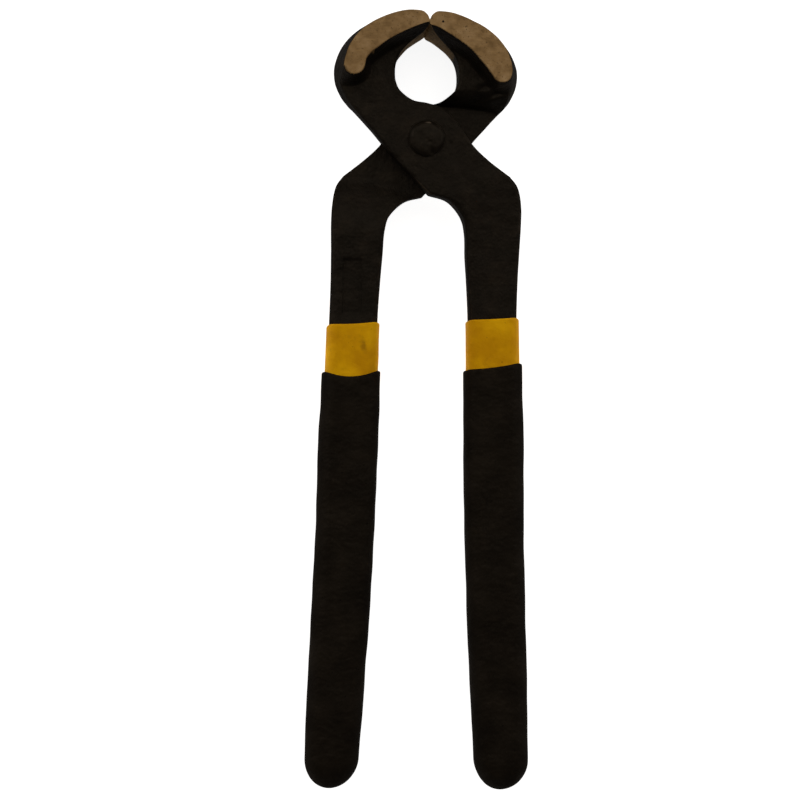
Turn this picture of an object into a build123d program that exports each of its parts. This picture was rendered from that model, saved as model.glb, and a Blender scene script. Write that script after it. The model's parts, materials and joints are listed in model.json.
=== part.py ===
"""Carpenter's pincers: two forged levers crossing on one rivet, with twice dipped handles.

Frame: the tool lies flat. +Z is the rivet's axis, +Y points from the handles to the jaws and +X
to the right. The origin is the middle of the tool's outline on the plane of the lower jaw faces.
The levers are drawn about the pivot, mid-thickness at z = 0, and moved to the frame at the end.
Both are one forging: the back lever is the front lever turned over about the tool's long axis.
"""
from build123d import *
import os
from math import cos, radians, sin

# Overall reach, from the pivot axis
EDGE_Y = 29.7            # cutting edges
JAW_TOP_Y = 32.8         # backs of the jaws
TOOL_END_Y = -168.6      # ends of the grips

# Jaws
JAW_WIDTH = 25.0         # along the cutting edge
EDGE_GAP = 0.10          # between the closed cutting edges
DRAFT_RUN = 2.5          # how far the forging draft spreads the jaw at mid-width
WALL_DRAFT = 0.91        # size of the jaw's web at the lap's faces against mid-width
WALL_CENTRE = (-9.5, 12.0)

# Joint
JOINT_THICKNESS = 12.0   # both lap halves together
LAP_GAP = 0.10           # between the lap faces
SHOULDER_GAP = 0.30      # between a lap's rim and the other lever's shoulder
DISC_R = 8.9             # rim of the lap, concentric with the pivot
DISC_END = 35.0          # where that rim runs off straight, degrees above +X
JAW_SHOULDER_Y = 7.0     # where the jaw's full thickness starts, clear of the other handle
HANDLE_SHOULDER_Y = -9.5 # where the handle's full thickness starts, clear of the other jaw

# Rivet
SHANK_R = 3.4
RIVET_RUNNING = 0.06     # radial clearance in the front lever
HEAD_R = 4.6
HEAD_HEIGHT = 1.3
HEAD_CHAMFER = 0.6
FOOT_R = 4.8             # peened foot, in the back lever's countersink
FOOT_DEPTH = 1.6

# Handles: distance along Y, middle of the bar in X, width and thickness of the bare steel
BAR_STATIONS = [
    (-30.0, 17.60, 13.2, 8.8),
    (-60.0, 18.45, 12.6, 8.4),
    (-100.0, 19.45, 12.6, 8.2),
    (-135.0, 20.90, 12.1, 8.0),
    (-160.0, 22.10, 11.3, 7.6),
]
BAR_CORNER = 2.6         # corner radius of the bar's section
BAR_END_R = 2.4          # rounding of the bar's end
ARCH_CENTRE_Y = -25.0    # arch between the handles
ARCH_R = 10.55

# Handle's root, where the forged web thins down into the bar
ROOT_Y = -36.0
ROOT_X = 17.75           # middle of the web there
ROOT_HALF_WIDTH = 6.5
ROOT_HALF_THICKNESS = 4.3
TAPER_START_Y = -14.0    # where the web starts to thin

# Dipped layers
BAND_SKIN = 0.65         # first dip, yellow
GRIP_SKIN = 0.75         # second dip, black
BAND_TOP_Y = -47.4
GRIP_TOP_Y = -60.6

PIVOT_Y = -(JAW_TOP_Y + TOOL_END_Y) / 2
PIVOT_Z = JAW_WIDTH / 2
HALF_JOINT = JOINT_THICKNESS / 2
FAR = 60.0               # larger than anything in the head


def polar(radius, degrees):
    return (radius * cos(radians(degrees)), radius * sin(radians(degrees)))


def prism(outline, low, high):
    """A closed outline of edges, carried along Z from low to high."""
    return Pos(0, 0, low) * extrude(make_face(outline), high - low)


def drafted(middle, side, half_width):
    """A solid that is middle at z = 0 and shrinks straight to side at half_width both ways."""
    upper = loft([middle, Pos(0, 0, half_width) * side], ruled=True)
    return upper + mirror(upper, Plane.XY)


# Points that several outlines share, on the front lever: jaw to the left, handle to the right
EDGE = (-EDGE_GAP / 2, EDGE_Y)
RIM_TOP = (0.0, DISC_R)
RIM_END = polar(DISC_R, DISC_END)
APEX = (0.55, -14.45)


def mouth_curve():
    """The jaw's inner side, from the cutting edge down to the top of the lap's rim."""
    return Spline(EDGE, (-2.6, 26.3), (-6.3, 22.6), (-8.2, 18.4), (-8.2, 14.2), (-5.6, 10.6), RIM_TOP,
                  tangents=[(-0.5, -0.85), (1, 0)])


def body_plan():
    """Plan of the web: jaw, lap and handle root, with the jaw's wall set in for its draft."""
    arch_end = (ARCH_R, ARCH_CENTRE_Y)
    outer, inner = ROOT_X + ROOT_HALF_WIDTH, ROOT_X - ROOT_HALF_WIDTH
    return [
        mouth_curve(),
        ThreePointArc(RIM_TOP, polar(DISC_R, (90 + DISC_END) / 2), RIM_END),
        Spline(RIM_END, (15.1, -4.9), (18.4, -7.0), (21.2, -9.4), (23.4, -12.6), (24.4, -20.0),
               tangents=[(sin(radians(DISC_END)), -cos(radians(DISC_END))), (0, -1)]),
        Line((24.4, -20.0), (outer, ROOT_Y)),
        Line((outer, ROOT_Y), (inner, ROOT_Y)),
        Line((inner, ROOT_Y), arch_end),
        ThreePointArc(arch_end, (ARCH_R * sin(radians(45)), ARCH_CENTRE_Y + ARCH_R * cos(radians(45))),
                      APEX),
        Line(APEX, (-11.7, -1.3)),
        Spline((-11.7, -1.3), (-17.6, 6.2), (-22.3, 15.0), (-20.4, 22.6), (-12.6, 29.0), (-3.4, 32.0)),
        Line((-3.4, 32.0), EDGE),
    ]


def jaw_wall_plan():
    """Plan of the jaw's outer wall at mid-width, before its draft."""
    return [
        Line((-11.9, -1.0), (-18.7, 6.6)),
        Spline((-18.7, 6.6), (-21.9, 10.8), (-23.7, 17.1), (-19.9, 25.6),
               tangents=[(-0.65, 0.76), (0.85, 0.5)]),
        Line((-19.9, 25.6), (-9.5, 22.0)),
        Line((-9.5, 22.0), (-9.5, 6.0)),
        Line((-9.5, 6.0), (-11.9, -1.0)),
    ]


def pad_plan():
    """The bean-shaped face that is ground on each side of the jaw."""
    return [
        ThreePointArc((-3.4, 32.7), (-11.0, 30.2), (-17.4, 25.8)),
        ThreePointArc((-17.4, 25.8), (-20.2, 21.9), (-20.9, 18.2)),
        ThreePointArc((-20.9, 18.2), (-18.3, 16.0), (-15.6, 18.2)),
        ThreePointArc((-15.6, 18.2), (-13.6, 21.6), (-10.9, 23.8)),
        ThreePointArc((-10.9, 23.8), (-5.9, 26.9), (0.4, 29.6)),
        ThreePointArc((0.4, 29.6), (-0.9, 31.6), (-3.4, 32.7)),
    ]


def grind_plan():
    """What grinding takes off the full width: the mouth's bevel, the tip and the jaw's top."""
    tip = (-3.4, 32.7)
    back = (-19.0, 29.2)
    return [
        mouth_curve(),
        Polyline(RIM_TOP, (6.0, DISC_R), (6.0, 40.0), (back[0], 40.0), back),
        ThreePointArc(back, (-11.2, 31.6), tip),
        ThreePointArc(tip, (-0.9, 31.6), EDGE),
    ]


def lap_plan():
    """What the other lever needs over the whole opening, cut from this lever's lower half."""
    rim = DISC_R + SHOULDER_GAP
    jaw_corner = (-15.4, JAW_SHOULDER_Y)
    handle_corner = (10.6, HANDLE_SHOULDER_Y)
    return [
        Line((FAR, rim), (0.0, rim)),
        ThreePointArc((0.0, rim), (-8.8, 8.5), jaw_corner),
        Polyline(jaw_corner, (-FAR, JAW_SHOULDER_Y), (-FAR, -FAR), (-4.0, -FAR), (-4.0, -10.4),
                 (-0.2, -14.9), (6.6, -11.9)),
        ThreePointArc((6.6, -11.9), (8.8, -10.6), handle_corner),
        Polyline(handle_corner, (FAR, HANDLE_SHOULDER_Y), (FAR, rim)),
    ]


def bar(grow, top_y, end_grow):
    """A handle's bar with its section grown all round, cut square at top_y, rounded at the end."""
    sections = []
    for y, x, width, thickness in BAR_STATIONS:
        place = Plane(origin=(x, y, 0), x_dir=(1, 0, 0), z_dir=(0, -1, 0))
        sections.append(place * RectangleRounded(width + 2 * grow, thickness + 2 * grow,
                                                 BAR_CORNER + grow))
    y, x, width, thickness = BAR_STATIONS[-1]
    end_y = TOOL_END_Y + BAND_SKIN + GRIP_SKIN - end_grow
    place = Plane(origin=(x + 0.4, end_y, 0), x_dir=(1, 0, 0), z_dir=(0, -1, 0))
    sections.append(place * RectangleRounded(width + 2 * grow, thickness + 2 * grow,
                                             BAR_CORNER + grow))
    solid = loft(sections)
    end_edges = solid.faces().sort_by(Axis.Y)[0].edges()
    solid = fillet(end_edges, BAR_END_R + grow)
    if top_y is None:
        return solid
    keep = Pos(20, (top_y + TOOL_END_Y) / 2 - 5, 0) * Box(80, top_y - TOOL_END_Y + 10, 40)
    return solid & keep


def forging():
    """The front lever: web, drafted jaw wall, ground pads, lap, bore and handle."""
    web = prism(body_plan(), -HALF_JOINT, HALF_JOINT)
    slope = Polyline((FAR, HALF_JOINT), (TAPER_START_Y, HALF_JOINT), (ROOT_Y, ROOT_HALF_THICKNESS),
                     (ROOT_Y, -ROOT_HALF_THICKNESS), (TAPER_START_Y, -HALF_JOINT),
                     (FAR, -HALF_JOINT), close=True)
    side = Plane.YZ * make_face(slope)
    web = web & (Pos(-FAR, 0, 0) * extrude(side, 2 * FAR))
    wall_face = make_face(jaw_wall_plan())
    centred = Pos(-WALL_CENTRE[0], -WALL_CENTRE[1], 0) * wall_face
    wall_side = (Pos(*WALL_CENTRE) * scale(centred, WALL_DRAFT)).face()
    wall = drafted(wall_face, wall_side, HALF_JOINT)
    pad_face = make_face(pad_plan())
    flange = drafted(offset(pad_face, DRAFT_RUN).face(), pad_face, JAW_WIDTH / 2)
    lever = web + wall + flange
    lever -= prism(grind_plan(), -JAW_WIDTH, JAW_WIDTH)
    lever += bar(0, None, 0)
    lever -= prism(lap_plan(), -JAW_WIDTH, LAP_GAP / 2)
    return lever


def front_lever():
    return forging() - Cylinder(SHANK_R + RIVET_RUNNING, JOINT_THICKNESS * 2)


def back_lever():
    lever = forging().rotate(Axis.Y, 180)
    bore = Cylinder(SHANK_R, JOINT_THICKNESS * 2)
    sink = Pos(0, 0, -HALF_JOINT + FOOT_DEPTH / 2) * Cone(FOOT_R, SHANK_R, FOOT_DEPTH)
    return lever - bore - sink


def rivet():
    shank = Cylinder(SHANK_R, JOINT_THICKNESS)
    head = Pos(0, 0, HALF_JOINT + HEAD_HEIGHT / 2) * Cylinder(HEAD_R, HEAD_HEIGHT)
    head = chamfer(head.edges().sort_by(Axis.Z)[-1], HEAD_CHAMFER)
    foot = Pos(0, 0, -HALF_JOINT + FOOT_DEPTH / 2) * Cone(FOOT_R, SHANK_R, FOOT_DEPTH)
    return shank + head + foot


def sleeve(inner_grow, outer_grow, top_y):
    """A dipped layer: a closed sock over what is under it."""
    return bar(outer_grow, top_y, outer_grow) - bar(inner_grow, None, inner_grow)


def save(node, solid):
    placed = Pos(0, PIVOT_Y, PIVOT_Z) * solid
    placed.label = node
    export_step(placed, f"parts/{node}.step")


os.makedirs("parts", exist_ok=True)

band = sleeve(0, BAND_SKIN, BAND_TOP_Y)
grip = sleeve(BAND_SKIN, BAND_SKIN + GRIP_SKIN, GRIP_TOP_Y)

save("lever_front", front_lever())
save("lever_back", back_lever())
save("pivot_rivet", rivet())
save("front_band_sleeve", band)
save("front_grip", grip)
save("back_band_sleeve", band.rotate(Axis.Y, 180))
save("back_grip", grip.rotate(Axis.Y, 180))
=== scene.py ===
# %% [markdown]
# Carpenter's pincers, finished in Blender
# ----------------------------------------
# The tool is two forged levers that cross on one rivet, with each handle dipped twice in vinyl,
# first yellow, then black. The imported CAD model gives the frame: where the pivot is, how big each
# piece is, and which body it moves with. This lesson replaces the plain CAD solids by surfaces
# that carry what forging, grinding and dipping leave behind, and never moves a CAD part.

# %% Load the frame
import json
import math

import bpy
import numpy as np
from mathutils import Matrix, Vector


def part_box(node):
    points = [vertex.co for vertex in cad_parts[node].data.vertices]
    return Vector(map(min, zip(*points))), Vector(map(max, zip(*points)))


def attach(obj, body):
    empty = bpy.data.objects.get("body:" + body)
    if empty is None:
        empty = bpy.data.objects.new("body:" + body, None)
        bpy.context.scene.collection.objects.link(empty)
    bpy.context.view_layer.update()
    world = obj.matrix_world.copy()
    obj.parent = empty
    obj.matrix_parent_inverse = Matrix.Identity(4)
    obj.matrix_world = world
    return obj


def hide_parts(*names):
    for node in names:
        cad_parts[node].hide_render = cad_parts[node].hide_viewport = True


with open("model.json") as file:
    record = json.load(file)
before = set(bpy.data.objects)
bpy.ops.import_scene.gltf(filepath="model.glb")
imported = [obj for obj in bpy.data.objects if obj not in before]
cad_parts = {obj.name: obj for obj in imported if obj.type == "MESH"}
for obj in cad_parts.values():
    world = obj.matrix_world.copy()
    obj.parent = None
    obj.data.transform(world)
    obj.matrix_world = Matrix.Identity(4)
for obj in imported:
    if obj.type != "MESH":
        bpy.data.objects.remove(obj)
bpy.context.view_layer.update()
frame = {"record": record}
MM = 0.001
FRONT, BACK = "front_half", "back_half"
pivot = np.array(frame["record"]["behaviour"]["joints"][0]["pos_m"])

# %% [markdown]
# Camera, light and floor
# -----------------------
# The tool lies flat and is seen from above, from a little left of its middle, so the inner walls
# on the right show as thin strips. A long lens keeps the handles nearly parallel. The camera comes
# first, because everything after it is seen through it.

# %% Camera
AIM = pivot + np.array([-5.6, -67.5, 0.0]) * MM       # the point in the middle of the view
EYE = pivot + np.array([-34.3, -68.8, 600.0]) * MM
ROLL = math.radians(0.86)                             # the tool leans a little to the right
LENS = 103.905                                        # focal length in mm, on a 36 mm sensor

camera_data = bpy.data.cameras.new("camera")
camera = bpy.data.objects.new("camera", camera_data)
bpy.context.scene.collection.objects.link(camera)
bpy.context.scene.camera = camera
camera_data.sensor_width = 36.0
camera_data.lens = LENS
camera_data.clip_start = 0.01
camera_data.clip_end = 20.0


def aim_camera(eye, aim, roll):
    """Looks from eye to aim with +Y up in the view, then turns about the view's axis by roll."""
    back = (eye - aim) / np.linalg.norm(eye - aim)
    right = np.cross([0.0, 1.0, 0.0], back)
    right /= np.linalg.norm(right)
    up = np.cross(back, right)
    turned_right = right * math.cos(roll) + up * math.sin(roll)
    turned_up = up * math.cos(roll) - right * math.sin(roll)
    rows = np.column_stack([turned_right, turned_up, back, eye])
    camera.matrix_world = Matrix([*rows.tolist(), [0, 0, 0, 1]])


aim_camera(EYE, AIM, ROLL)
print("lens", round(camera_data.lens, 1), "mm")

# %% [markdown]
# The tool is nearly black, so what the eye reads as its shape is mostly reflection. The room is
# kept dim, one panel hangs above and two stand low at the sides, so flat faces stay dark and
# rounded edges catch a thin highlight. The floor is a light table, as for catalogue work: it glows
# evenly, which takes the shadow out of the mouth and from between the handles. It's left out of
# the reflections, where its glow would put a grey haze on every steep face.

# %% Light and floor
scene = bpy.context.scene
scene.view_settings.view_transform = "Standard"
world = bpy.data.worlds.new("studio")
scene.world = world
world.use_nodes = True
surround = world.node_tree.nodes["Background"].inputs
surround["Color"].default_value = (1.0, 0.98, 0.96, 1)
surround["Strength"].default_value = 0.10


def soft_panel(name, place, size, power, tint):
    """A square area light that faces the middle of the tool."""
    data = bpy.data.lights.new(name, "AREA")
    data.shape = "SQUARE"
    data.size = size
    data.energy = power
    data.color = tint
    lamp = bpy.data.objects.new(name, data)
    lamp.location = place
    lamp.rotation_euler = (-Vector(place)).to_track_quat("-Z", "Y").to_euler()
    scene.collection.objects.link(lamp)


soft_panel("panel_above", (0.05, 0.45, 0.85), 0.7, 1.6, (1.0, 0.95, 0.88))
soft_panel("panel_left", (-0.70, 0.35, 0.50), 0.5, 1.8, (1.0, 0.94, 0.87))
soft_panel("panel_right", (0.70, 0.40, 0.45), 0.5, 1.6, (1.0, 0.95, 0.88))


def floor_sheet(size):
    """A flat square, a tenth of a millimetre below the lower jaw faces."""
    mesh = bpy.data.meshes.new("floor")
    half = size / 2
    corners = [(-half, -half, 0), (half, -half, 0), (half, half, 0), (-half, half, 0)]
    mesh.from_pydata([(x, y, z - 0.1 * MM) for x, y, z in corners], [], [(0, 1, 2, 3)])
    sheet = bpy.data.objects.new("floor", mesh)
    scene.collection.objects.link(sheet)
    paper = bpy.data.materials.new("paper")
    paper.use_nodes = True
    shader = paper.node_tree.nodes["Principled BSDF"]
    shader.inputs["Base Color"].default_value = (0.93, 0.93, 0.93, 1)
    shader.inputs["Roughness"].default_value = 0.9
    shader.inputs["Emission Color"].default_value = (1.0, 1.0, 1.0, 1)
    shader.inputs["Emission Strength"].default_value = 0.90
    mesh.materials.append(paper)
    sheet.visible_glossy = False


floor_sheet(6.0)
print("lights", len(bpy.data.lights))

# %% [markdown]
# Helpers for surfaces
# --------------------
# Every new piece is a grid of rings: each ring is one closed section, and the rings follow one
# another along the piece. The grid is filled with four-sided faces, and its two ends are closed
# with one pole each, so the piece is a closed solid that could be made.


# %% Grid to mesh
def ring_mesh(name, rings, material):
    """Makes a closed object from rings, an array (rings, points, 3) in metres.

    Point j of ring i joins point j + 1 and the next ring's points j and j + 1; the mean of the
    first ring and of the last ring become the poles.
    """
    count, around, _ = rings.shape
    poles = rings[[0, -1]].mean(axis=1)
    points = np.concatenate([rings.reshape(-1, 3), poles])
    i, j = np.meshgrid(np.arange(count - 1), np.arange(around), indexing="ij")
    following = (j + 1) % around
    quads = np.stack([i * around + j, i * around + following,
                      (i + 1) * around + following, (i + 1) * around + j], axis=-1).reshape(-1, 4)
    k = np.arange(around)
    nxt = (k + 1) % around
    first, last = count * around, count * around + 1
    start = np.stack([np.full(around, first), nxt, k], axis=-1)
    base = (count - 1) * around
    end = np.stack([np.full(around, last), base + k, base + nxt], axis=-1)
    mesh = bpy.data.meshes.new(name)
    mesh.from_pydata(points.tolist(), [], quads.tolist() + start.tolist() + end.tolist())
    mesh.materials.append(material)
    mesh.polygons.foreach_set("use_smooth", np.ones(len(mesh.polygons), dtype=bool))
    piece = bpy.data.objects.new(name, mesh)
    scene.collection.objects.link(piece)
    print(name, len(mesh.polygons), "faces")
    return piece


def carry_value(piece, name, values):
    """Stores one number per point, for a material to read; the two poles repeat their ring."""
    flat = np.concatenate([values.reshape(-1), [values[0].mean(), values[-1].mean()]])
    layer = piece.data.attributes.new(name, "FLOAT", "POINT")
    layer.data.foreach_set("value", flat.astype(np.float32))


def smooth_step(x):
    """0 below 0, 1 above 1, and 3x^2 - 2x^3 between."""
    x = np.clip(x, 0.0, 1.0)
    return x * x * (3 - 2 * x)


def curve_through(keys, at):
    """A smooth curve through evenly numbered keys (Catmull-Rom), read at the numbers in at.

    Between two keys the curve is a cubic whose end slopes are half the step from the key before
    to the key after.
    """
    keys = np.asarray(keys, dtype=float)
    padded = np.concatenate([[2 * keys[0] - keys[1]], keys, [2 * keys[-1] - keys[-2]]])
    k = np.clip(np.floor(at).astype(int), 0, len(keys) - 2)
    f = (at - k)[:, None]
    before, a, b, after = padded[k], padded[k + 1], padded[k + 2], padded[k + 3]
    slope_a, slope_b = (b - before) / 2, (after - a) / 2
    return ((2 * f**3 - 3 * f**2 + 1) * a + (f**3 - 2 * f**2 + f) * slope_a
            + (3 * f**2 - 2 * f**3) * b + (f**3 - f**2) * slope_b)


print("half way up a smooth step:", smooth_step(0.5))

# %% [markdown]
# Finishes
# --------
# Four finishes cover the tool: forging scale that was blackened, steel bared by the grinding
# wheel, and the two dips of vinyl. Each is built from noise at the size that the real marks have,
# in millimetres on the piece itself, so the marks stay in place when the tool opens.

# %% Material helpers
def new_material(name, roughness, specular, metallic=0.0):
    """An empty Principled material; numbers that are the same all over sit on the shader itself."""
    material = bpy.data.materials.new(name)
    material.use_nodes = True
    shader = material.node_tree.nodes["Principled BSDF"]
    shader.inputs["Roughness"].default_value = roughness
    shader.inputs["Specular IOR Level"].default_value = specular
    shader.inputs["Specular Tint"].default_value = (1.0, 0.86, 0.68, 1)
    shader.inputs["Metallic"].default_value = metallic
    return material, material.node_tree, shader


def add(tree, kind, **settings):
    """Adds a node and sets its plain properties."""
    node = tree.nodes.new(kind)
    for key, value in settings.items():
        setattr(node, key, value)
    return node


def grain(tree, size_mm, detail=3.0, roughness=0.55, stretch=(1, 1, 1)):
    """Noise whose blobs are about size_mm across, in the piece's own millimetres."""
    where = add(tree, "ShaderNodeTexCoord")
    scale = add(tree, "ShaderNodeMapping")
    scale.inputs["Scale"].default_value = [1 / (size_mm * MM) * s for s in stretch]
    noise = add(tree, "ShaderNodeTexNoise")
    noise.inputs["Scale"].default_value = 1.0
    noise.inputs["Detail"].default_value = detail
    noise.inputs["Roughness"].default_value = roughness
    tree.links.new(where.outputs["Object"], scale.inputs["Vector"])
    tree.links.new(scale.outputs["Vector"], noise.inputs["Vector"])
    return noise.outputs["Fac"]


def ramp(tree, value, stops):
    """Turns a number into a colour by (position, colour) stops."""
    node = add(tree, "ShaderNodeValToRGB")
    elements = node.color_ramp.elements
    while len(elements) < len(stops):
        elements.new(0.5)
    for element, (position, colour) in zip(elements, stops):
        element.position = position
        element.color = (*colour, 1) if len(colour) == 3 else colour
    tree.links.new(value, node.inputs["Fac"])
    return node.outputs["Color"]


def grey_ramp(tree, value, stops):
    """Turns a number into another number by (position, number) stops."""
    return ramp(tree, value, [(p, (g, g, g)) for p, g in stops])


def blend_colour(tree, factor, a, b, mode="MIX"):
    """Mixes two colours; factor, a and b are sockets or plain values."""
    node = add(tree, "ShaderNodeMix", data_type="RGBA", blend_type=mode)
    for index, value in ((0, factor), (6, a), (7, b)):
        if hasattr(value, "links"):
            tree.links.new(value, node.inputs[index])
        else:
            node.inputs[index].default_value = value
    return node.outputs[2]


def arithmetic(tree, operation, *values):
    """A Math node; its inputs are sockets or plain numbers."""
    node = add(tree, "ShaderNodeMath", operation=operation)
    for slot, value in zip(node.inputs, values):
        if hasattr(value, "links"):
            tree.links.new(value, slot)
        else:
            slot.default_value = value
    return node.outputs[0]


def bump(tree, shader, layers):
    """Stacks bumps, each (height socket, depth in mm), and feeds the shader's normal."""
    normal = None
    for height, depth in layers:
        node = add(tree, "ShaderNodeBump")
        node.inputs["Strength"].default_value = 1.0
        node.inputs["Distance"].default_value = depth * MM
        tree.links.new(height, node.inputs["Height"])
        if normal is not None:
            tree.links.new(normal, node.inputs["Normal"])
        normal = node.outputs["Normal"]
    tree.links.new(normal, shader.inputs["Normal"])


def piece_value(tree, name):
    """Reads a number that the mesh carries at each point."""
    return add(tree, "ShaderNodeAttribute", attribute_name=name).outputs["Fac"]


print("materials so far", len(bpy.data.materials))

# %% [markdown]
# The levers' steel carries two looks in one material. The number `bare` on the mesh says where the
# grinding wheel took the black scale off: the bean-shaped faces on the sides of the jaws and the
# bevels that make the cutting edges. The number `edge` says where a corner is; the colour is lighter
# there, partly because handling thins the black there first, partly as a painted highlight.

# %% Black forging with ground faces
def forged_steel():
    """Black scale, lighter at corners by wear and a painted highlight; tan ground steel where bare is
    high.
    """
    material, tree, shader = new_material("forged_steel", 0.5, 0.16)
    bare = piece_value(tree, "bare")
    edge = piece_value(tree, "edge")
    ragged = arithmetic(tree, "MULTIPLY_ADD", grain(tree, 0.7), 0.30, bare)
    ground = grey_ramp(tree, ragged, [(0.60, 0.0), (0.72, 1.0)])

    scale_tone = ramp(tree, grain(tree, 5.0, 4.0), [
        (0.30, (0.0032, 0.0022, 0.0013)), (0.55, (0.0068, 0.0047, 0.0029)),
        (0.75, (0.0140, 0.0096, 0.0058))])
    # Corners lighten towards brown: wear on the black scale, and a painted highlight.
    rubbed_and_highlit = arithmetic(tree, "MULTIPLY_ADD", grain(tree, 1.6, 4.0), 0.55, edge)
    worn_and_highlit = grey_ramp(tree, arithmetic(tree, "SUBTRACT", rubbed_and_highlit, 0.5), [(0.68, 0.0), (0.92, 0.6)])
    scale_tone = blend_colour(tree, worn_and_highlit, scale_tone, (0.045, 0.032, 0.020, 1))

    tan = ramp(tree, grain(tree, 2.6, 5.0), [
        (0.28, (0.175, 0.104, 0.042)), (0.50, (0.265, 0.163, 0.070)), (0.75, (0.360, 0.235, 0.115))])
    specks = grey_ramp(tree, grain(tree, 0.45, 2.0), [(0.26, 0.35), (0.38, 1.0)])
    tan = blend_colour(tree, 1.0, tan, specks, "MULTIPLY")
    tree.links.new(blend_colour(tree, ground, scale_tone, tan), shader.inputs["Base Color"])

    tree.links.new(arithmetic(tree, "MULTIPLY", ground, 0.80), shader.inputs["Metallic"])
    matt = grey_ramp(tree, grain(tree, 1.1, 4.0), [(0.3, 0.42), (0.7, 0.62)])
    satin = grey_ramp(tree, grain(tree, 0.35, 3.0, stretch=(0.2, 1, 1)), [(0.3, 0.38), (0.7, 0.55)])
    tree.links.new(blend_colour(tree, ground, matt, satin), shader.inputs["Roughness"])

    scratches = grain(tree, 0.22, 2.0, stretch=(0.08, 1, 1))
    rough = arithmetic(tree, "SUBTRACT", 1.0, ground)
    pitted = arithmetic(tree, "MULTIPLY", grain(tree, 0.9, 5.0, 0.6), rough)
    lumps = arithmetic(tree, "MULTIPLY", grain(tree, 3.5, 3.0), rough)
    lines = arithmetic(tree, "MULTIPLY", scratches, ground)
    bump(tree, shader, [(lumps, 0.45), (pitted, 0.28), (lines, 0.02)])
    return material


steel = forged_steel()
print("finish", steel.name)

# %% [markdown]
# Rivet steel is the same black, but its head was hammered and has seen rubbing, so it is a little
# smoother. Its rim and a spot on its far side are lighter: bare specks and a painted highlight.

# %% Rivet steel
def rivet_steel():
    """Smooth black steel with shallow pits, lighter where the edge number is high: wear and a painted
    highlight.
    """
    material, tree, shader = new_material("rivet_steel", 0.42, 0.14)
    edge = piece_value(tree, "edge")
    tone = ramp(tree, grain(tree, 1.8, 4.0), [
        (0.30, (0.0045, 0.0032, 0.0020)), (0.60, (0.0090, 0.0064, 0.0040)),
        (0.80, (0.0170, 0.0120, 0.0075))])
    # The rim and the spot on the far side lighten: wear and a painted highlight.
    rubbed_and_highlit = arithmetic(tree, "MULTIPLY_ADD", grain(tree, 0.8, 4.0), 0.7, edge)
    worn_and_highlit = grey_ramp(tree, arithmetic(tree, "SUBTRACT", rubbed_and_highlit, 0.5), [(0.62, 0.0), (0.95, 0.9)])
    tree.links.new(blend_colour(tree, worn_and_highlit, tone, (0.10, 0.078, 0.056, 1)),
                   shader.inputs["Base Color"])
    tree.links.new(grey_ramp(tree, grain(tree, 1.0, 4.0), [(0.3, 0.34), (0.7, 0.55)]),
                   shader.inputs["Roughness"])
    pits = grey_ramp(tree, grain(tree, 1.3, 2.0), [(0.22, 0.0), (0.36, 1.0)])
    bump(tree, shader, [(grain(tree, 2.0, 3.0), 0.20), (pits, 0.12)])
    return material


rivet_black = rivet_steel()
print("finish", rivet_black.name)

# %% [markdown]
# Dipped vinyl is soft and satin. The yellow coat has faint thin spots and rubbed smudges; the black
# one is duller, with dust, pinholes and shallow ripples from the draining. In both coats the
# pinholes also darken the colour, as painted shade in the pits.

# %% The two dips
def dipped_vinyl(name, tones, smudge, roughness, specular, ripple):
    """Satin vinyl: tones are three colours from thin to thick coat, smudge is rubbed dirt's colour.

    ripple is the height of the draining waves in millimetres.
    """
    material, tree, shader = new_material(name, roughness, specular)
    body = ramp(tree, grain(tree, 9.0, 3.0), [(0.36, tones[0]), (0.52, tones[1]), (0.66, tones[2])])
    marks = arithmetic(tree, "ADD", grain(tree, 5.0, 6.0, 0.65),
                       arithmetic(tree, "MULTIPLY", piece_value(tree, "smudge"), 0.42))
    dirty = grey_ramp(tree, marks, [(0.60, 0.0), (0.84, 0.65)])
    body = blend_colour(tree, dirty, body, (*smudge, 1))
    # Pinholes are pits in the bump and darker spots in the colour: painted shade in the pits.
    pinholes_and_pit_shade = grey_ramp(tree, grain(tree, 0.8, 1.0), [(0.18, 0.35), (0.26, 1.0)])
    tree.links.new(blend_colour(tree, 1.0, body, pinholes_and_pit_shade, "MULTIPLY"), shader.inputs["Base Color"])
    tree.links.new(grey_ramp(tree, grain(tree, 2.2, 5.0),
                             [(0.3, roughness - 0.08), (0.7, roughness + 0.10)]),
                   shader.inputs["Roughness"])
    waves = grain(tree, 2.4, 2.0, stretch=(0.8, 1.0, 0.8))
    bump(tree, shader, [(waves, ripple), (pinholes_and_pit_shade, 0.30), (grain(tree, 1.1, 4.0), 0.18)])
    return material


YELLOW_TONES = [(0.72, 0.330, 0.0008), (0.85, 0.420, 0.0012), (0.95, 0.495, 0.0022)]
BLACK_TONES = [(0.0055, 0.0038, 0.0024), (0.0085, 0.0060, 0.0038), (0.0120, 0.0086, 0.0056)]
yellow = dipped_vinyl("yellow_dip", YELLOW_TONES, (0.34, 0.150, 0.004), 0.50, 0.08, 0.10)
black = dipped_vinyl("black_dip", BLACK_TONES, (0.022, 0.015, 0.009), 0.52, 0.10, 0.35)
print("finishes", yellow.name, black.name)

# %% [markdown]
# The forged lever
# ----------------
# A lever could be cut from a block with booleans, but a forging has no hard corners: it is metal
# pressed from one bar that changes its section all the way along. So it is built that way here, as
# a section carried along a path. Two curves bound it in plan: the left one runs down the jaw's back,
# past the waist and into the arch between the handles; the right one runs down the mouth, round the
# lap's rim and over the shoulder. Keys with the same number on the two curves face each other.

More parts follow.
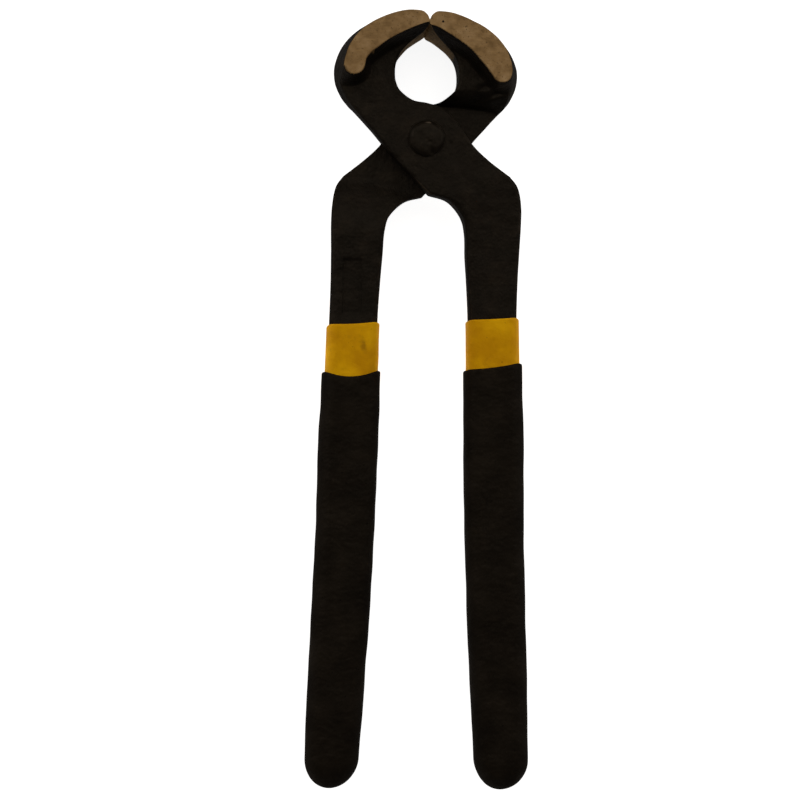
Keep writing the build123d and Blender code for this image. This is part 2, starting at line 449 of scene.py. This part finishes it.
# %% Plan of the front lever, in millimetres from the pivot
EDGE_Y = 29.7                # cutting edge
low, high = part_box("lever_front")
JAW_HALF = round((high[2] - low[2]) / 2 / MM, 3)      # half the jaw's width, from the CAD lever
LAP_HALF = 6.0               # half the joint's thickness
JAW_KEYS = [                 # left x, left y, right x, right y, from the edge to the handle's root
    (-0.012, EDGE_Y, -0.012, EDGE_Y), (-0.8, 31.2, -0.05, 28.7), (-2.6, 32.4, -1.3, 27.2),
    (-7.0, 32.6, -3.4, 25.3), (-12.6, 31.1, -5.4, 23.4), (-17.6, 28.3, -7.1, 21.3),
    (-21.5, 24.0, -8.0, 19.2), (-23.4, 19.0, -8.4, 17.0), (-23.4, 14.6, -8.3, 14.6),
    (-22.0, 10.9, -7.2, 12.2), (-20.4, 8.6, -4.0, 9.9), (-18.9, 7.0, 0.0, 9.15),
    (-16.0, 3.8, 4.0, 8.0), (-12.6, 0.0, 7.3, 5.1), (-8.9, -4.2, 9.7, 1.7),
    (-4.6, -8.9, 12.4, -2.0), (-1.5, -12.2, 16.4, -5.7), (0.5, -14.4, 21.3, -9.6)]
HANDLE_KEYS = [
    (0.5, -14.4, 21.3, -9.6), (5.3, -15.9, 23.2, -12.4), (9.1, -19.7, 24.1, -16.2),
    (10.4, -24.0, 24.4, -21.5), (10.8, -30.0, 24.3, -29.0), (11.3, -37.0, 24.2, -37.0),
    (11.8, -46.0, 24.3, -46.0), (12.1, -60.0, 24.7, -60.0), (12.6, -80.0, 25.3, -80.0),
    (13.2, -100.0, 25.7, -100.0), (14.1, -120.0, 26.5, -120.0), (15.2, -140.0, 27.1, -140.0),
    (16.4, -157.0, 27.7, -157.0), (18.4, -165.0, 26.4, -165.0), (20.8, -167.0, 24.0, -167.0)]
SHOULDER = len(JAW_KEYS) - 1             # key number of the handle's shoulder
JAW_SHOULDER = 11                        # key number of the jaw's shoulder
KEY_END = SHOULDER + len(HANDLE_KEYS) - 1


def outline_at(s):
    """Left and right plan points at key numbers s; the arch's corner splits the keys in two."""
    jaw = curve_through(JAW_KEYS, np.clip(s, 0, SHOULDER))
    handle = curve_through(HANDLE_KEYS, np.clip(s - SHOULDER, 0, len(HANDLE_KEYS) - 1))
    both = np.where((s <= SHOULDER)[:, None], jaw, handle)
    return both[:, :2], both[:, 2:]


def stations():
    """Key numbers of the rings: close together on the jaw, with a pair at each lap shoulder.

    Each span is (from, to, number of rings); rings that two spans share are kept once.
    """
    hair = 0.004
    spans = [(0.0, 1.0, 16), (1.0, 9.0, 150), (9.0, JAW_SHOULDER - hair, 26),
             (JAW_SHOULDER + hair, SHOULDER - hair, 84), (SHOULDER + hair, SHOULDER + 6, 110),
             (SHOULDER + 6, KEY_END - 2, 22), (KEY_END - 2, KEY_END, 14)]
    return np.unique(np.concatenate([np.linspace(*span) for span in spans]))


print("rings", len(stations()))

# %% [markdown]
# The section is a rounded rectangle. It is described once, on a unit scale: where a point sits
# between the flats (`across`, `up`) and which way the corner's arc carries it from there (`out_x`,
# `out_z`). Widths, thicknesses and corner radii then stretch it to size ring by ring.

# %% Unit section
def unit_section(flat, corner, wall):
    """Points of a rounded rectangle, in order: top from right to left, left wall, bottom, right wall.

    flat, corner and wall are the numbers of points on a flat, on a corner's quarter circle and on
    a wall. Returns across, up, out_x, out_z, one array each.
    """
    along = np.linspace(1, -1, flat)
    quarter = np.linspace(0, np.pi / 2, corner + 2)[1:-1]
    down = np.linspace(1, -1, wall)
    one = np.ones
    turn = [quarter + np.pi / 2, quarter + np.pi, quarter + 1.5 * np.pi, quarter]
    across = np.concatenate([along, -one(corner), -one(wall), -one(corner), -along, one(corner),
                             one(wall), one(corner)])
    up = np.concatenate([one(flat), one(corner), down, -one(corner), -one(flat), -one(corner),
                         -down, one(corner)])
    out_x = np.concatenate([0 * along, np.cos(turn[0]), -one(wall), np.cos(turn[1]), 0 * along,
                            np.cos(turn[2]), one(wall), np.cos(turn[3])])
    out_z = np.concatenate([one(flat), np.sin(turn[0]), 0 * down, np.sin(turn[1]), -one(flat),
                            np.sin(turn[2]), 0 * down, np.sin(turn[3])])
    return across, up, out_x, out_z


ALONG_FLAT, ALONG_CORNER, ALONG_WALL = 62, 5, 13      # points on each part of a lever's section
print("points round a lever", len(unit_section(ALONG_FLAT, ALONG_CORNER, ALONG_WALL)[0]))

# %% [markdown]
# The pads
# --------
# On the jaw the forging bulges outwards along a bean-shaped line until it is wider than the jaw
# should be, and the grinding wheel takes it back to a flat 12.5 mm from the middle. The
# model does the same: it raises a bulge round a curved line, then cuts it off flat, and the cut's
# own outline is the bean.

# %% Bulge of the jaw
FRONT_PAD = [                # x, y and half width of the bean, from past the tip to its round end
    (1.9, 30.9, 1.6), (-1.6, 30.4, 1.8), (-5.3, 29.3, 2.2), (-10.2, 27.3, 2.6), (-15.2, 24.0, 2.75),
    (-17.5, 21.6, 2.65), (-18.6, 19.8, 2.7), (-19.0, 17.9, 2.75)]
BACK_PAD = [                 # the back lever's bean was ground deeper, so it is wider and longer
    (1.6, 30.6, 2.0), (-2.6, 29.9, 2.3), (-6.6, 28.4, 2.9), (-10.3, 26.3, 3.1), (-13.4, 24.0, 3.3),
    (-16.0, 21.1, 3.25), (-17.9, 18.3, 3.0), (-18.8, 16.6, 2.75)]
FLARE_OUT = 2.1              # how far outside the bean the bulge has sunk to the web
FLARE_IN = 1.0               # how far inside it the bulge is full
BULGE_HALF = 14.0            # half width that the bulge would reach before grinding
PAD_STEPS = 90               # places along the bean's line at which its distance is measured


def bean_distance(points, pad):
    """Distance of plan points outside the bean's outline (negative inside), and how far they lie
    on its back rather than on the mouth's side (0 to 1).
    """
    line = curve_through(pad, np.linspace(0, len(pad) - 1, PAD_STEPS))
    gap = points[..., None, :] - line[:, :2]
    reach = np.hypot(gap[..., 0], gap[..., 1])
    nearest = reach.argmin(axis=-1)
    distance = np.take_along_axis(reach, nearest[..., None], -1)[..., 0] - line[nearest, 2]
    heading = np.gradient(line[:, :2], axis=0)
    heading /= np.hypot(heading[:, 0], heading[:, 1])[:, None]
    backwards = np.stack([heading[:, 1], -heading[:, 0]], axis=-1)[nearest]
    here = points - line[nearest, :2]
    outward = (here * backwards).sum(axis=-1)
    beyond = ((points - line[-1, :2]) * heading[-1]).sum(axis=-1)
    on_back = smooth_step(outward / 0.8) * (1 - smooth_step(beyond / 2.2 + 0.25))
    return distance, on_back


def ripples(points, seed, count=14, shortest=2.0, longest=9.0):
    """Gentle unevenness: the mean of plane waves with random headings and lengths, about -1 to 1."""
    random = np.random.default_rng(seed)
    heading = random.normal(size=(count, points.shape[-1]))
    heading /= np.linalg.norm(heading, axis=1)[:, None]
    length = random.uniform(shortest, longest, count)
    phase = random.uniform(0, 2 * np.pi, count)
    return np.sin(points @ (heading * (2 * np.pi / length)[:, None]).T + phase).mean(axis=-1) * 2


print("ground off a pad", BULGE_HALF - JAW_HALF, "mm")

# %% [markdown]
# Both levers come out of one die, but each was dressed by hand afterwards, so their outlines differ
# by a few tenths of a millimetre. A short table says how far each curve stands out from its keys.

# %% What the dressing left
FRONT_DRESS = (              # left curve, right curve: (key number, how far it lies outwards in mm)
    [(0, 0), (4, 0.1), (5.5, 0.45), (7, 0.55), (8, 0.4), (10, 0), (12.5, -0.25), (14, 0), (16.5, -0.2),
     (18, -0.6), (19.5, -0.3), (21, 0)],
    [(0, 0), (2, -0.1), (3.5, -0.5), (5, -0.4), (7, 0), (9, 0.35), (10.5, 0.4), (12, 0), (16, 0.15),
     (17.5, 0.7), (19.5, 0.75), (21, 0.4), (23, 0)])
BACK_DRESS = (
    [(0, 0), (2, -0.1), (3, -0.5), (4, -0.9), (5, -0.7), (6, -0.2), (7, 0.15), (8.5, 0), (12.5, -0.25),
     (14, 0)],
    [(0, 0), (5, 0), (7.5, 0.25), (9.5, 0.35), (10.5, 0.3), (12, 0), (17.5, 0), (19, -0.2), (21, -0.2),
     (23, 0)])


def key_table(s, pairs):
    """Reads a value that changes evenly between (key number, value) pairs."""
    numbers, values = zip(*pairs)
    return np.interp(s, numbers, values)[:, None]


print("most ground off the back jaw", -min(value for _, value in BACK_DRESS[0]), "mm")

# %% [markdown]
# The side of each lever that faces up has marks of its own: on the front lever a few knocks round
# the rivet, and on the back one the folds under the pad, where the die didn't fill, and a plain
# oblong panel in the handle. Each mark is a height added to the surface, worked out from its place
# in plan, so it needs no extra mesh. The last three marks change only colour: two say how bare the
# steel is, and the third is a painted highlight along a corner of the front lever.

# %% Marks on the upper sides
KNOCKS = [                   # x, y, size and depth
    (6.3, -1.3, 0.7, 0.30), (6.5, 4.0, 0.8, 0.25), (-7.8, -5.6, 0.9, 0.45), (-3.8, -10.2, 1.0, 0.40),
    (-14.6, 8.8, 0.8, 0.25), (9.5, -9.5, 1.1, 0.20)]
HOLLOW = (-13.6, 10.6, 2.0, 0.9)         # x, y, size and depth
RIDGES = (-17.6, 12.6, 4.0, 0.38)        # x, y, size and height
RIDGE_SPACING = 2.7
PANEL = (18.6, -38.6, 2.6, 7.4, 0.45)    # x, y, half width, half length and depth
PANEL_SLOPE = 0.35
FRONT_MARK = (-14.4, 21.3, 1.2, 0.55)    # where the wheel ran off the pad: x, y, size and added bare
BACK_MARK = (-3.4, 29.2, 0.35, -0.8)     # a pit that the wheel didn't reach
CORNER_HIGHLIGHT = (-1.0, -13.0, 2.2, 0.9)         # painted highlight along the front lever's corner at the arch: x, y, size and strength


def bell(plan, x, y, size):
    """1 at x, y and fading round it: the exponential of minus (distance / size) squared."""
    return np.exp(-((plan[..., 0] - x) ** 2 + (plan[..., 1] - y) ** 2) / size ** 2)


def knocked(plan):
    """Height that the knocks take off the front lever: a sum of bells."""
    return -sum(depth * bell(plan, x, y, size) for x, y, size, depth in KNOCKS)


def folded_and_pressed(plan):
    """Height on the back lever: ridges on a slant under a bell, less a hollow, less the panel.

    The panel is full depth inside its oblong and slopes up to the handle over PANEL_SLOPE.
    """
    x, y, size, depth = HOLLOW
    hollow = depth * bell(plan, x, y, size)
    x, y, size, tall = RIDGES
    slant = 0.35 * (plan[..., 0] - x) + 0.94 * (plan[..., 1] - y)
    ridges = tall * np.sin(slant * 2 * np.pi / RIDGE_SPACING) * bell(plan, x, y, size)
    x, y, half_width, half_length, depth = PANEL
    inside = (smooth_step((half_width - np.abs(plan[..., 0] - x)) / PANEL_SLOPE)
              * smooth_step((half_length - np.abs(plan[..., 1] - y)) / PANEL_SLOPE))
    return ridges - hollow - depth * inside


print(len(KNOCKS), "knocks")

# %% [markdown]
# The section's sizes change along the lever: sharp corners at the cutting edge, soft ones on the
# handle, 12 mm of thickness at the joint and 8 mm at the grip. `bow` bends the rings of the lap
# towards the jaw, so that they meet the curved rim squarely.

# %% Sizes along the lever
DRAFT_RUN = 2.5              # how far the jaw's wall leans in over half the jaw's width
LEAST_HALF = 0.008           # half width of the cutting edge, so that it is still a closed ring


def section_sizes(s):
    """Corner radius, half thickness, wall draft and bow at key numbers s."""
    corner = key_table(s, [(0, 0.12), (2, 0.25), (5, 0.8), (9, 0.9), (12, 0.75), (16, 0.8), (18, 1.2),
                           (20, 2.0), (KEY_END - 2, 2.3), (KEY_END, 1.2)])
    thick = key_table(s, [(0, LAP_HALF), (17, LAP_HALF), (18, 5.9), (20, 5.0), (22, 4.35), (23, 4.2),
                          (KEY_END - 2, 3.9), (KEY_END - 1, 3.4), (KEY_END, 2.0)])
    draft = key_table(s, [(0, 0.0), (1.5, 0.3), (4, 1.3), (6, 2.2), (7, DRAFT_RUN), (9, 2.2),
                          (10.5, 0.9), (12, 0.0)])
    bow = key_table(s, [(9, 0.0), (11, 0.35), (13, 0.0), (15, 0.0), (17, 1.1), (20, 0.0)])
    return corner, thick, draft, bow


def spread_in_plan(s, dress, corner, bow, across, out_x):
    """Plan place of every point, the unit direction across each ring, and the corner that fits.

    Place = middle + side * (across * (half width - corner) + corner * out_x), moved towards the jaw
    by bow * (1 - share of the half width squared).
    """
    left, right = outline_at(s)
    half = np.maximum(np.linalg.norm(right - left, axis=1) / 2, LEAST_HALF)[:, None]
    side = (right - left) / (2 * half)
    side[0] = side[1]                    # the first ring has no width, so it borrows a direction
    left = left - key_table(s, dress[0]) * side
    right = right + key_table(s, dress[1]) * side
    half = np.maximum(np.linalg.norm(right - left, axis=1) / 2, LEAST_HALF)[:, None]
    corner = np.minimum(corner, 0.48 * half)
    reach = across * (half - corner) + corner * out_x
    forward = np.stack([-side[:, 1], side[:, 0]], axis=-1)
    lift = bow * (1 - np.clip(reach / half, -1, 1) ** 2)
    plan = (left + right)[:, None] / 2 + reach[..., None] * side[:, None]
    return plan + lift[..., None] * forward[:, None], side[:, None], corner


print("half thickness at the grip's end", section_sizes(np.array([KEY_END]))[1].item(), "mm")

# %% [markdown]
# Now the lever itself. Where the other lever crosses, the lower half is missing: the section is cut
# off flat just above the middle plane, and slopes back to its full thickness outside the two
# shoulders. The jaw's outer wall leans in by its forging draft as it leaves the middle plane.

# %% Lever
LAP_CLEAR = 0.05             # half the gap between the lap faces
JAW_RAMP = 2.4               # length of the slope up from the lap to the jaw, in key steps
HANDLE_RAMP = 3.4            # and to the handle
PRESS = 0.003                # what is cut off is pressed this flat, so that no two points meet
BEVEL_BARE = 0.56            # how bare the mouth's bevel is; the ground faces are 1
UNEVEN = 0.10                # height of the forging's unevenness
FOOT_LEVEL = 5.0             # the upper and lower side read the unevenness this far from the middle


def bulge_and_ripples(s, plan, leaned, up, pad, seed):
    """How far the jaw's bulge has risen, 0 to 1, and the forging's unevenness, at every point.

    The bulge is a smooth step of the distance outside the bean, full on the jaw's back. leaned is
    plan after the wall's draft.
    """
    distance, on_back = bean_distance(leaned, pad)
    level = np.broadcast_to(FOOT_LEVEL * np.sign(up)[:, None], plan.shape[:-1] + (1,))
    uneven = ripples(np.concatenate([plan, level], axis=-1), seed)
    distance = distance * (1 - on_back) - 1.5 * on_back + 0.12 * uneven
    bulge = smooth_step((FLARE_OUT - distance) / (FLARE_OUT + FLARE_IN))
    return bulge * key_table(s, [(9.5, 1), (10.5, 0)]), uneven


def lap_cut(s, tall, height):
    """Presses flat what lies under the lap, and slopes back to full thickness outside it."""
    cut = (smooth_step((s - JAW_SHOULDER + JAW_RAMP) / JAW_RAMP)
           * smooth_step((SHOULDER + HANDLE_RAMP - s) / HANDLE_RAMP))
    lap_face = LAP_CLEAR - (tall + LAP_CLEAR) * (1 - cut[:, None])
    return np.maximum(height, lap_face + PRESS * (height - lap_face))


def bare_steel(s, across, out_x, out_z, ground):
    """How bare each point is: 1 on ground faces and the cutting edge, BEVEL_BARE on the bevel."""
    bevel = (BEVEL_BARE * np.clip((across * (1 - np.abs(out_z)) - 0.5) * 2, 0, 1)
             * (1 - smooth_step((s[:, None] - 4.4) / 2.2)))
    tip = (1 - smooth_step((s[:, None] - 1.6) / 0.8)) * (out_x < -0.3)
    return np.maximum(np.maximum(ground, bevel), tip)


def lever_surface(seed, pad, dress, mark, relief, upper):
    """Rings of a lever in millimetres from the pivot, with its bare and edge numbers.

    Height = up * (half thickness - corner) + corner * out_z, with the half thickness raised by
    the bulge, then cut off at the ground faces and pressed flat at the lap. upper is 1 or -1, the
    side that relief is added to.
    """
    s = stations()
    across, up, out_x, out_z = unit_section(ALONG_FLAT, ALONG_CORNER, ALONG_WALL)
    corner, thick, draft, bow = section_sizes(s)
    plan, side, corner = spread_in_plan(s, dress, corner, bow, across, out_x)
    lean = ((1 - across) / 2) ** 2 * draft

    bulge, uneven = bulge_and_ripples(s, plan, plan + lean[..., None] * side, up, pad, seed)
    tall = thick + (BULGE_HALF - thick) * bulge + UNEVEN * uneven * (1 - bulge)
    height = up * (tall - corner) + corner * out_z
    ground = np.abs(height) > JAW_HALF
    height = np.clip(height, -JAW_HALF, JAW_HALF)
    plan = plan + (lean * np.abs(height) / JAW_HALF)[..., None] * side

    height = lap_cut(s, tall, height)
    height = height + upper * relief(plan) * (1 - bulge) * np.clip(upper * up, 0, 1)

    bare = bare_steel(s, across, out_x, out_z, ground)
    bare = bare + mark[3] * bell(plan, *mark[:3]) * (np.abs(height) > 8)
    # edge lightens the colour at the section's corners, as wear and a painted highlight; the bell adds
    # a painted highlight on the front lever's corner by the arch.
    edge = (2 * out_x * out_z) ** 2 * (1 + CORNER_HIGHLIGHT[3] * bell(plan, *CORNER_HIGHLIGHT[:3]) * (upper > 0))
    return np.concatenate([plan, height[..., None]], axis=-1), bare, edge


def lever(name, node, body, turn, *shape):
    """Puts a lever's rings in the frame; turn is AS_DRAWN or TURNED."""
    rings, bare, edge = lever_surface(*shape)
    piece = ring_mesh(name, rings * turn * MM + pivot, steel)
    carry_value(piece, "bare", bare)
    carry_value(piece, "edge", edge)
    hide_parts(node)
    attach(piece, body)


AS_DRAWN = np.array([1.0, 1.0, 1.0])
TURNED = np.array([-1.0, 1.0, -1.0])     # half a turn about Y, which keeps the faces pointing out
lever("front_lever_forging", "lever_front", FRONT, AS_DRAWN,
      3, FRONT_PAD, FRONT_DRESS, FRONT_MARK, knocked, 1)
lever("back_lever_forging", "lever_back", BACK, TURNED,
      8, BACK_PAD, BACK_DRESS, BACK_MARK, folded_and_pressed, -1)

# %% [markdown]
# The rivet
# ---------
# The rivet is a turned shape: one outline spun about the pivot. Its head was set hot with a few
# blows, so the crown is nearly flat, with a chamfer that isn't quite even all round.

# %% Rivet
RIVET_OUTLINE = [            # radius and height, from the middle of the head to that of the foot
    (0.6, 7.36), (1.8, 7.34), (2.9, 7.28), (3.55, 7.20), (3.85, 7.08), (4.25, 6.78), (4.5, 6.55),
    (4.6, 6.35), (4.62, 6.15), (4.6, 6.0), (3.5, 5.98), (3.4, 5.9), (3.4, -4.3), (4.0, -5.0),
    (4.7, -5.75), (4.75, -5.95), (4.5, -6.03), (3.0, -6.10), (1.2, -6.12)]
RIVET_STEPS, RIVET_TURNS = 110, 96       # rings along the outline and points round each
HEAD_RADIUS = 4.6


def rivet_surface():
    """Rings of the rivet: radius and height along the outline, spun clockwise seen from the head.

    The radius wavers by a tenth of a millimetre or less with the angle, most at the head's rim. A
    missed blow left a dent by the rim and a nick near the middle, each a small bell. The second
    array says how much lighter each point is painted: the head's rim, wear and a painted highlight,
    and a chipped spot on its far side that is also a painted glint.
    """
    fine = curve_through(RIVET_OUTLINE, np.linspace(0, len(RIVET_OUTLINE) - 1, RIVET_STEPS))
    turn = -np.linspace(0, 2 * np.pi, RIVET_TURNS + 1)[:-1]
    radius, height = fine[:, :1], fine[:, 1:]
    head = smooth_step((height - 5.5) / 0.5)
    waver = 0.05 * np.sin(3 * turn + 0.6) + 0.035 * np.sin(5 * turn + 2.0) + 0.02 * np.sin(11 * turn)
    spread = radius + waver * head * (radius / HEAD_RADIUS) ** 2
    x, y = spread * np.cos(turn), spread * np.sin(turn)
    crown = 0.05 * np.sin(1.1 * x + 0.4) * np.cos(1.3 * y) * smooth_step((height - 6.9) / 0.2)
    dent = 0.8 * np.exp(-((x - 1.6) ** 2 + (y + 3.5) ** 2) / 0.8 ** 2) * head
    nick = 0.20 * np.exp(-((x - 0.7) ** 2 + (y + 0.9) ** 2) / 0.5 ** 2) * head
    rings = np.stack([x, y, height + crown - dent - nick], axis=-1)
    # The chipped spot on the head's far side is a painted glint, and the lighter rim all round is wear
    # and a painted highlight.
    chip_and_glint = 0.8 * np.exp(-((x - 0.4) ** 2 / 0.9 ** 2 + (y - 4.1) ** 2 / 0.35 ** 2)) * head
    rim = 0.55 * np.exp(-((radius - 4.0) / 0.35) ** 2) * head * np.ones_like(turn) + chip_and_glint
    return rings, rim


rivet_rings, rivet_wear_and_glint = rivet_surface()
rivet = ring_mesh("rivet_body", rivet_rings * MM + pivot, rivet_black)
carry_value(rivet, "edge", rivet_wear_and_glint)
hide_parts("pivot_rivet")
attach(rivet, BACK)

# %% [markdown]
# The dipped sleeves
# ------------------
# Each dip is a sock: it follows the steel at an even distance, closes over the end in a dome where
# the last drop hung, and starts at a rim that isn't level, because the handle went into the bath at
# a slant. One grid goes up the inside, over the rim and down the outside.

# %% Sleeve
SLEEVE_KEYS = [              # y, middle x, half width and half thickness of the steel under the dips
    (-40.0, 17.90, 6.25, 4.3), (-60.0, 18.45, 6.20, 4.25), (-80.0, 18.95, 6.40, 4.2),
    (-100.0, 19.40, 6.25, 4.15), (-120.0, 20.15, 6.20, 4.1), (-140.0, 21.10, 6.00, 4.0),
    (-160.0, 22.05, 5.65, 3.9), (-180.0, 23.0, 5.3, 3.8)]
SLEEVE_STEP = 20.0           # how far apart the keys lie along the handle
SLEEVE_POINTS = (15, 8, 7)   # points on a flat, a corner and a wall of the section
RING_STEP = 0.8              # how far apart the rings lie
SKIN_YELLOW = 0.65           # thickness of the first dip
SKIN_BLACK = 0.75            # and of the second
HAIR = 0.02                  # gap between one layer and the next
SMUDGE = (-15.4, -53.8)      # middle of the rubbed spot on the left yellow band
RIM_FADE = 9.0               # how far below the rim its wave dies out
DOME_START = -160.6          # where the grip starts to round off
DOME_LENGTH = 6.48           # from there to the end of the steel; each skin lies further out


def sleeve_rings(rim_y, inner, outer, rim_wave, end_shift, seed):
    """Rings of a dipped sleeve in millimetres from the pivot, on the right-hand handle.

    At height y the section is a rounded rectangle, grown from the steel by inner or outer. Past
    DOME_START it shrinks as the root of 1 - q^2, with q the share of the dome's length. rim_wave
    gives how far the rim stands above rim_y at each place across, less a little at the two sides,
    where it is rounded; that fades over RIM_FADE. end_shift moves the dome's tip sideways, where
    the last drop hung. The inside has a quarter or a sixth of the rings, because nobody sees it.
    """
    across, up, out_x, out_z = unit_section(*SLEEVE_POINTS)
    body = np.arange(rim_y - 0.9, DOME_START, -RING_STEP)
    dome_q = np.sin(np.linspace(0.0, 1.0, 38)[1:-1] * np.pi / 2)
    roll = np.linspace(-np.pi / 2, np.pi / 2, 9)
    wall = (outer - inner) / 2
    rim_grow = (outer + inner) / 2 + wall * np.sin(roll)
    rim_level = rim_y - 0.5 + 0.5 * np.cos(roll)
    y = np.concatenate([DOME_START - (DOME_LENGTH + inner) * dome_q[::-4], body[::-6], rim_level, body,
                        DOME_START - (DOME_LENGTH + outer) * dome_q])
    q = np.concatenate([dome_q[::-4], 0 * body[::-6], 0 * roll, 0 * body, dome_q])
    lead = len(dome_q[::-4]) + len(body[::-6])
    grow = np.concatenate([np.full(lead, inner), rim_grow, np.full(len(body) + len(dome_q), outer)])
    key = np.clip((SLEEVE_KEYS[0][0] - y) / SLEEVE_STEP, 0, len(SLEEVE_KEYS) - 1.01)
    steel_at = curve_through(SLEEVE_KEYS, key)
    shrink = np.sqrt(np.clip(1 - q ** 2, 1e-4, 1))[:, None]
    half = (steel_at[:, 2:3] + grow[:, None]) * shrink
    thick = (steel_at[:, 3:4] + grow[:, None]) * shrink ** 0.8
    corner = np.minimum(np.minimum(2.4 + 1.3 * grow[:, None], 0.92 * thick), 0.92 * half)
    x = across * (half - corner) + corner * out_x
    z = up * (thick - corner) + corner * out_z
    fade = smooth_step((y - rim_y + RIM_FADE) / RIM_FADE)[:, None]
    u = x / half
    level = y[:, None] + (rim_wave(u) - 0.45 * u ** 14) * fade
    place = np.stack([steel_at[:, 1:2] + x, level, z], axis=-1)
    outside = (np.arange(len(y)) > lead + 4)[:, None]
    swell = 0.10 * ripples(place, seed, 10, 6.0, 24.0) * outside * (1 - 0.7 * fade)
    x = x + swell * out_x
    z = z + swell * out_z
    drip = end_shift * (q ** 3)[:, None]
    return np.stack([steel_at[:, 1:2] + x + drip, level, z], axis=-1)


def dip(name, node, slot_name, material, body, turn, *shape):
    """Makes one sleeve; the smudge on the left yellow band is a bell, on its upper side only."""
    rings = sleeve_rings(*shape) * turn
    piece = ring_mesh(name, rings * MM + pivot, material)
    off_x, off_y = rings[..., 0] - SMUDGE[0], rings[..., 1] - SMUDGE[1]
    carry_value(piece, "smudge", np.exp(-(off_x / 1.1) ** 2 - (off_y / 1.9) ** 2) * (rings[..., 2] > 0))
    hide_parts(node)
    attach(piece, body)


print("both dips together", SKIN_YELLOW + SKIN_BLACK, "mm")

# %% [markdown]
# The rims differ from handle to handle. On the right handle both rims climb to the outside; on the
# left one they sag in the middle of the face and climb to the inside. Each rim is a parabola in u,
# the place across the face, -1 at the inside and 1 at the outside, and gives millimetres.

# %% Four sleeves
def right_yellow_rim(u):
    """Climbs to the outside."""
    return 0.42 * u + 0.15 * u ** 2


def right_black_rim(u):
    """Climbs to the outside, more than twice as steeply."""
    return 1.05 * u + 0.40 * u ** 2 - 0.1


def left_yellow_rim(u):
    """Climbs to the inside and sags a little."""
    return 0.42 * -u + 0.30 * u ** 2


def left_black_rim(u):
    """Sags in the middle."""
    return 0.25 * -u + 1.70 * u ** 2 - 0.7


dip("front_yellow_dip", "front_band_sleeve", "yellow_dip", yellow, FRONT, AS_DRAWN,
    -46.2, HAIR, SKIN_YELLOW, right_yellow_rim, -0.6, 21)
dip("back_yellow_dip", "back_band_sleeve", "yellow_dip", yellow, BACK, TURNED,
    -48.0, HAIR, SKIN_YELLOW, left_yellow_rim, 0.2, 22)
dip("front_black_dip", "front_grip", "black_dip", black, FRONT, AS_DRAWN,
    -58.6, SKIN_YELLOW + HAIR, SKIN_YELLOW + SKIN_BLACK, right_black_rim, -0.6, 23)
dip("back_black_dip", "back_grip", "black_dip", black, BACK, TURNED,
    -60.9, SKIN_YELLOW + HAIR, SKIN_YELLOW + SKIN_BLACK, left_black_rim, 0.2, 24)
